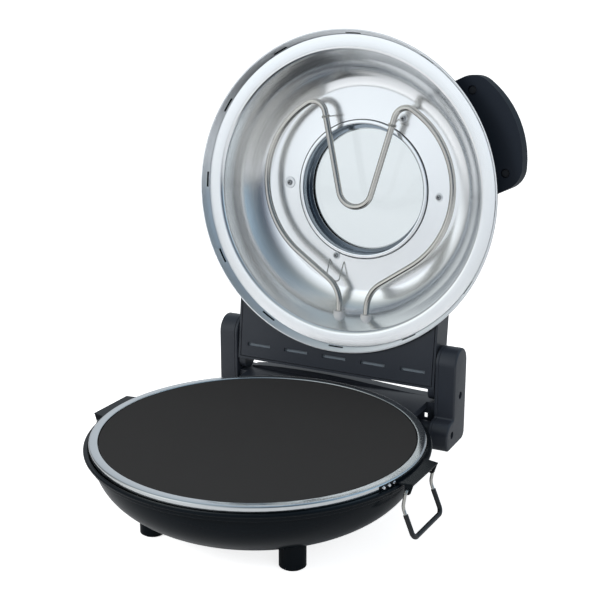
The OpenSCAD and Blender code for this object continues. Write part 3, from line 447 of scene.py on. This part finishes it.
bm = bmesh.new()
under = SEAT_Z - TRAY_SHEET
ring = line(bm, [(LEDGE_R, under), (WELL_R + TRAY_SHEET, under), (WELL_R + TRAY_SHEET, TRAY_TOP - 1.1),
                 (TRAY_R - TRAY_SHEET, TRAY_TOP - 1.5), (TRAY_R - TRAY_SHEET, under), (TRAY_R, under),
                 (TRAY_R, TRAY_TOP), (WELL_R + 2, TRAY_TOP + TRAY_CROWN), (WELL_R, TRAY_TOP), (WELL_R, SEAT_Z),
                 (LEDGE_R, SEAT_Z)], closed=True)
ease(bm, [ring[6]], ROLLED_EDGE, 5)
ease(bm, [ring[8]], INNER_EDGE, 3)
turn(bm)
piece(bm, "tray", bright_steel, "base", AT_TRAY, ["tray_ring"])


# ---- Baking stone ----
# A fired ceramic disc, glazed matt charcoal, with small rounded edges.
# It lies loose on the tray's ledge, just below the ring's top.

STONE_R, STONE_TOP, STONE_EDGE = 156.0, 90.0, 0.9
stone_glaze = mottled("stone_glaze", (0.0390, 0.0385, 0.0385), (0.0410, 0.0405, 0.0405), (0.82, 0.95),
                      drift_scale=14.0, grain_scale=1300.0, strength=0.10, **{"Specular IOR Level": 0.0})

bm = bmesh.new()
disc = line(bm, [(0, SEAT_Z), (STONE_R, SEAT_Z), (STONE_R, STONE_TOP), (0, STONE_TOP)])
ease(bm, disc[1:3], STONE_EDGE, 4)
turn(bm)
piece(bm, "stone", stone_glaze, "base", AT_TRAY, ["baking_stone"])


# ---- Tray handles ----
# A folded sheet bracket riveted to each side of the tray, with a bent wire bail that hangs from its two flaps.
# The grip of the bail runs in a black sleeve.

bail_steel = metal("bail_steel", (0.50, 0.49, 0.46), (0.22, 0.32), grain_scale=1200.0)
sleeve_plastic = mottled("sleeve_plastic", (0.009, 0.009, 0.010), (0.012, 0.012, 0.013), (0.30, 0.38), strength=0.05)
rivet_steel = metal("rivet_steel", (0.75, 0.76, 0.78), (0.16, 0.24))
dress(black_paint, "left_shield", "right_shield")
dress(rivet_steel, "shield_rivets")
dress(bail_steel, "left_bail", "right_bail")
dress(sleeve_plastic, "left_bail_sleeve", "right_bail_sleeve")


# ---- Lid shell ----
# The dome of the lid, drawn from thin steel: painted black, but bare on the rim and inside the skirt.
# Vent slits are sunk into its skirt from inside, close to the reflector's flange.

LID_TRAVEL, HINGE_Y, HINGE_Z, HINGE_DEPTH = 96.2, 188.0, 104.5, 17.0
AT_LID = (AT_STONE @ Matrix.Translation((0, HINGE_Y, HINGE_Z)) @ Matrix.Rotation(radians(-LID_TRAVEL), 4, "X")
          @ Matrix.Translation((0, -HINGE_Y, -HINGE_DEPTH)))
SHELL_SHEET = 1.2
LID_R, RIM_BAND = 172.8, 1.5
SKIRT_R, SKIRT_TOP = 168.6, 12.0
DOME_R, DOME_FOOT, DOME_FOOT_INSIDE = 163.0, 13.0, 11.2
DOME_FLAT_R, LID_TOP = 96.0, 76.0
SHELL_HOLE_R = 77.5
SLIT_COUNT, SLIT_SINK, SKIRT_LEAN = 12, 1.2, -21.8
SLIT_DEPTH, SLIT_LENGTH, SLIT_HEIGHT = 3.6, 17.0, 2.5
SLIT_R, SLIT_Z = 168.7, 7.8
bare_steel = metal("bare_steel", (0.84, 0.86, 0.88), (0.32, 0.40), grain_scale=900.0)

bm = bmesh.new()
line(bm, [(LID_R, 0), (LID_R, RIM_BAND), (SKIRT_R, SKIRT_TOP), (DOME_R, SKIRT_TOP)])
bulge(bm, DOME_FLAT_R, DOME_R, LID_TOP, DOME_FOOT)
line(bm, [(DOME_R, SKIRT_TOP), (DOME_R, DOME_FOOT)])
line(bm, [(DOME_FLAT_R, LID_TOP), (SHELL_HOLE_R, LID_TOP), (SHELL_HOLE_R, LID_TOP - SHELL_SHEET),
          (DOME_FLAT_R, LID_TOP - SHELL_SHEET)])
bulge(bm, DOME_FLAT_R, DOME_R - SHELL_SHEET, LID_TOP - SHELL_SHEET, DOME_FOOT_INSIDE)
line(bm, [(DOME_R - SHELL_SHEET, DOME_FOOT_INSIDE), (DOME_R - SHELL_SHEET, SKIRT_TOP - SHELL_SHEET),
          (SKIRT_R - SHELL_SHEET, SKIRT_TOP - SHELL_SHEET), (LID_R - SHELL_SHEET, SHELL_SHEET),
          (LID_R - SHELL_SHEET, 0), (LID_R, 0)])
turn(bm)
# The dome and all that looks out or up is painted. The rim and the inside of the skirt stay bare.
for face in bm.faces:
    at = face.calc_center_median()
    away = Vector((at.x, at.y, 0)).normalized()
    outward = face.normal.dot(away) * 0.8 + face.normal.z * 0.6
    painted = at.z > SKIRT_TOP + 0.1 or (outward > 0.02 and at.z > 0.2)
    face.material_index = 0 if painted else 1
shell = piece(bm, "lid_dome", [black_paint, bare_steel], "lid", AT_LID, ["lid_shell"])
# Each slit is a block laid along the leaning skirt, too shallow to break through
slits = []
in_skirt = (Matrix.Translation((SLIT_R, 0, SLIT_Z)) @ Matrix.Rotation(radians(SKIRT_LEAN), 4, "Y")
            @ Matrix.Translation((-SLIT_SINK, 0, 0)) @ Matrix.Diagonal((SLIT_DEPTH, SLIT_LENGTH, SLIT_HEIGHT, 1)))
for i in range(SLIT_COUNT):
    bm = bmesh.new()
    bmesh.ops.create_cube(bm, size=1)
    bmesh.ops.transform(bm, verts=bm.verts[:], matrix=Matrix.Rotation(i * 2 * pi / SLIT_COUNT, 4, "Z") @ in_skirt)
    slits.append(cutter(bm, AT_LID))
cut(shell, slits)


# ---- Lid reflector ----
# Spun and polished aluminium: a flat flange inside the rim, a curved wall, and a flat floor round the window.
# Four screws and their washers hold its floor to posts on the shell.

# Spun: fine rings round an axis, as a lathe or a spinning tool leaves them.
spun, given, result = group("spun",
    [("Vector", "Vector", None), ("Pitch", "Float", 0.0012), ("Gloss Low", "Float", 0.2), ("Gloss High", "Float", 0.3)],
    [("Height", "Float"), ("Roughness", "Float")])
flat = node(spun, "VectorMath", {0: given.outputs["Vector"], 1: (1, 1, 0)}, operation="MULTIPLY")
radius = node(spun, "VectorMath", {0: flat.outputs[0]}, operation="LENGTH").outputs["Value"]
count = math_node(spun, "DIVIDE", radius, given.outputs["Pitch"])
rings = node(spun, "TexNoise", {"W": count, "Scale": 1.0, "Detail": 3.0}, noise_dimensions="1D")
gloss = node(spun, "MapRange", {"Value": rings.outputs["Fac"], "From Min": 0.3, "From Max": 0.7,
                                "To Min": given.outputs["Gloss Low"], "To Max": given.outputs["Gloss High"]})
spun.links.new(rings.outputs["Fac"], result.inputs["Height"])
spun.links.new(gloss.outputs[0], result.inputs["Roughness"])
LID_AXIS = AT_LID.to_translation() * MM


def spun_metal(name, tone, pitch, gloss, strength):
    """Bare metal with fine rings round the lid's axis. pitch is their spacing in metres."""
    def build(tree):
        at = node(tree, "Mapping", {"Vector": node(tree, "TexCoord").outputs["Object"], "Location": LID_AXIS,
                                    "Rotation": (radians(-LID_TRAVEL), 0, 0)}, vector_type="TEXTURE")
        made = node(tree, "Group", {"Vector": at.outputs[0], "Pitch": pitch, "Gloss Low": gloss[0],
                                    "Gloss High": gloss[1]}, node_tree=spun)
        return {"Roughness": made.outputs["Roughness"], "Height": made.outputs["Height"]}
    return finish(name, {"Base Color": (*tone, 1), "Metallic": 1.0}, strength, build)


REFLECTOR_SHEET = 0.8
FLANGE_R, FLANGE_Z, WALL_R = 167.3, 10.0, 152.0
WALL_HIP, WALL_FOOT = (147.2, 22.5), (137.5, 44)
FLAT_R, FLAT_Z = 120.0, 57.0
NECK_R = 73.2
# Corners of the wall that are rounded, as [corner, reach, steps]
WALL_BENDS = [(1, 3, 5), (2, 8, 8), (3, 12, 12), (4, 8, 8)]
reflector_metal = spun_metal("reflector_metal", (0.91, 0.925, 0.94), 0.0011, (0.17, 0.23), 0.05)

bm = bmesh.new()
wall = line(bm, [(FLANGE_R, FLANGE_Z), (WALL_R, FLANGE_Z), WALL_HIP, WALL_FOOT, (FLAT_R, FLAT_Z), (NECK_R, FLAT_Z)])
for at, reach, count in WALL_BENDS:
    ease(bm, [wall[at]], reach, count)
turn(bm)
# The wall gets its thickness away from the hollow, so its faces look into it first
if min(bm.faces, key=lambda f: f.calc_center_median().xy.length).normal.z > 0:
    bmesh.ops.reverse_faces(bm, faces=bm.faces[:])
bmesh.ops.solidify(bm, geom=bm.faces[:], thickness=REFLECTOR_SHEET)
piece(bm, "reflector", reflector_metal, "lid", AT_LID, ["lid_reflector"])

# Pan heads with a cross recess, each on a washer, as [x, y, washer's radius, turn of the cross]
FLOOR_SCREWS = [(-89.5, 0, 6.5, 20), (89.5, 0, 4.6, 65), (-27.5, 76.5, 4.6, 40), (43, -81, 4.6, 10)]
HEAD_TOP_R, HEAD_R, HEAD_DEPTH, HEAD_EDGE = 2.3, 3.4, 2.2, 0.7
CROSS_LENGTH, CROSS_WIDTH, CROSS_DEPTH = 3.6, 1.0, 0.6
WASHER_DEPTH, WASHER_EDGE = 0.9, 0.4
HEAD_Z, CROSS_Z, WASHER_Z = FLAT_Z - 2.1, FLAT_Z - 2.95, FLAT_Z - 0.5
# A near-black finish that paints the shade of recesses and gaps onto the parts that fill them.
painted_recess_shade = mottled("painted_recess_shade", (0.010, 0.012, 0.016), (0.015, 0.018, 0.023), (0.5, 0.6))
screw_heads, cross_shades, washers = bmesh.new(), bmesh.new(), bmesh.new()
for x, y, reach, turned in FLOOR_SCREWS:
    spot = Matrix.Translation((x, y, 0)) @ Matrix.Rotation(radians(turned), 4, "Z")
    bmesh.ops.create_cone(screw_heads, cap_ends=True, segments=36, radius1=HEAD_TOP_R, radius2=HEAD_R, depth=HEAD_DEPTH,
                          matrix=spot @ Matrix.Translation((0, 0, HEAD_Z)))
    # Each cross recess is not cut: two dark blocks set into the head's face are painted shade for the recess.
    for quarter in (0, pi / 2):
        bmesh.ops.create_cube(cross_shades, size=1, matrix=spot @ Matrix.Rotation(quarter, 4, "Z")
                              @ Matrix.Translation((0, 0, CROSS_Z))
                              @ Matrix.Diagonal((CROSS_LENGTH, CROSS_WIDTH, CROSS_DEPTH, 1)))
    bmesh.ops.create_cone(washers, cap_ends=True, segments=48, radius1=reach - WASHER_EDGE, radius2=reach,
                          depth=WASHER_DEPTH, matrix=spot @ Matrix.Translation((0, 0, WASHER_Z)))
soften(screw_heads, HEAD_EDGE, 4)
piece(screw_heads, "floor_screws", screw_steel, "lid", AT_LID, ["reflector_screws"])
piece(cross_shades, "floor_screw_cross_shades", painted_recess_shade, "lid", AT_LID)
piece(washers, "floor_washers", bare_steel, "lid", AT_LID, ["reflector_washers"])


# ---- Window ----
# A round pane of clear glass in a bright collar that goes from the reflector's floor through the shell.
# It sits on a seat in the collar, and a gasket and a ring on the outside hold it.

WINDOW_R, TUBE_R, COLLAR_SHEET = 76.5, 73.0, 1.0
COLLAR_FRONT, COLLAR_EDGE = FLAT_Z - 1.6, 0.9
SEAT_IN_R, SEAT_BACK = 67.5, 71.0
PANE_Z, PANE_R, PANE_EDGE = 72.0, 72.0, 0.6

pane_glass = finish("pane_glass", {"Base Color": (0.77, 0.82, 0.84, 1), "Roughness": 0.02, "IOR": 1.45,
                                   "Transmission Weight": 1.0})
collar_steel = spun_metal("collar_steel", (0.86, 0.88, 0.90), 0.0006, (0.12, 0.18), 0.03)
tunnel_shade_steel = metal("tunnel_shade_steel", (0.25, 0.29, 0.33), (0.08, 0.16), drift_scale=60.0)

bm = bmesh.new()
ring = line(bm, [(TUBE_R - 1.2, COLLAR_FRONT), (WINDOW_R, COLLAR_FRONT), (WINDOW_R, FLAT_Z), (TUBE_R, FLAT_Z),
                 (TUBE_R, LID_TOP), (TUBE_R - COLLAR_SHEET, LID_TOP), (TUBE_R - COLLAR_SHEET, SEAT_BACK),
                 (SEAT_IN_R, SEAT_BACK), (SEAT_IN_R, SEAT_BACK - COLLAR_SHEET),
                 (TUBE_R - 1.8, SEAT_BACK - COLLAR_SHEET), (TUBE_R - 1.2, SEAT_BACK - 1.6)], closed=True)
ease(bm, ring[0:2], COLLAR_EDGE, 4)
turn(bm)
# Faces nearer the axis than the tube's outside take a much darker copy of the collar's steel: painted shade for the
# tunnel and the inner edge of the collar's front.
for face in bm.faces:
    face.material_index = 1 if face.calc_center_median().xy.length < TUBE_R + 0.5 else 0
piece(bm, "collar", [collar_steel, tunnel_shade_steel], "lid", AT_LID, ["window_collar"])
# A thin black ring in the joint between the collar and the reflector: painted shade for the gap
bm = bmesh.new()
line(bm, [(WINDOW_R + 0.1, FLAT_Z - 0.5), (WINDOW_R + 1, FLAT_Z - 0.5), (WINDOW_R + 1, FLAT_Z - 0.02),
          (WINDOW_R + 0.1, FLAT_Z - 0.02)], closed=True)
turn(bm)
piece(bm, "collar_gap_shade", painted_recess_shade, "lid", AT_LID)
bm = bmesh.new()
pane = line(bm, [(0, PANE_Z), (PANE_R, PANE_Z), (PANE_R, LID_TOP), (0, LID_TOP)])
ease(bm, pane[1:3], PANE_EDGE, 3)
turn(bm, 120)
piece(bm, "pane", pane_glass, "lid", AT_LID, ["window_glass"])
dress(pad_rubber, "window_gasket")
dress(bright_steel, "window_ring")


# ---- Upper heater ----
# One stainless tube bent into a loop with a tongue, its ends in white ceramic bushes.
# It hangs on thin wire clips, two of them wound round the tube. The lower heater is the same kind of tube.

heater_steel = metal("heater_steel", (0.62, 0.605, 0.575), (0.17, 0.25), grain_scale=700.0, strength=0.06,
                     other=(0.52, 0.505, 0.475))
ceramic = mottled("ceramic", (0.50, 0.50, 0.50), (0.57, 0.57, 0.57), (0.35, 0.5), strength=0.1)
dress(heater_steel, "upper_element", "lower_element")
dress(ceramic, "upper_element_bushes", "lower_element_bushes", "upper_thermostat", "lower_thermostat", "terminal_block")
dress(bail_steel, "element_clips", "lower_element_brackets", "reflector_posts")
dress(bare_steel, "base_liner")


# ---- Lid handle ----
# A thick moulded grip on the right shoulder of the lid, in smooth dark plastic.
# Two screws hold it, each in a round pocket of its front.

handle_plastic = mottled("handle_plastic", (0.0110, 0.0150, 0.0225), (0.0135, 0.0180, 0.0265), (0.50, 0.62),
                         grain_scale=1700.0, strength=0.12, **{"Specular IOR Level": 0.2})
dress(handle_plastic, "lid_handle")
# The screw heads take the near-black recess finish: painted shade for their deep pockets.
dress(painted_recess_shade, "handle_screws")
dress(screw_steel, "arm_screws")


# ---- Hinge housing ----
# A moulded box on the lower edge of the lid, with an arm inside each end that turns on a hinge pin.
# Its front plate has a row of slots, and a grey baffle shows behind them.

baffle_grey = mottled("baffle_grey", (0.16, 0.19, 0.22), (0.20, 0.23, 0.26), (0.4, 0.5), strength=0.1)
dress(black_plastic, "hinge_housing", "left_hinge_arm", "right_hinge_arm", "housing_front_plate")
dress(baffle_grey, "housing_baffle")
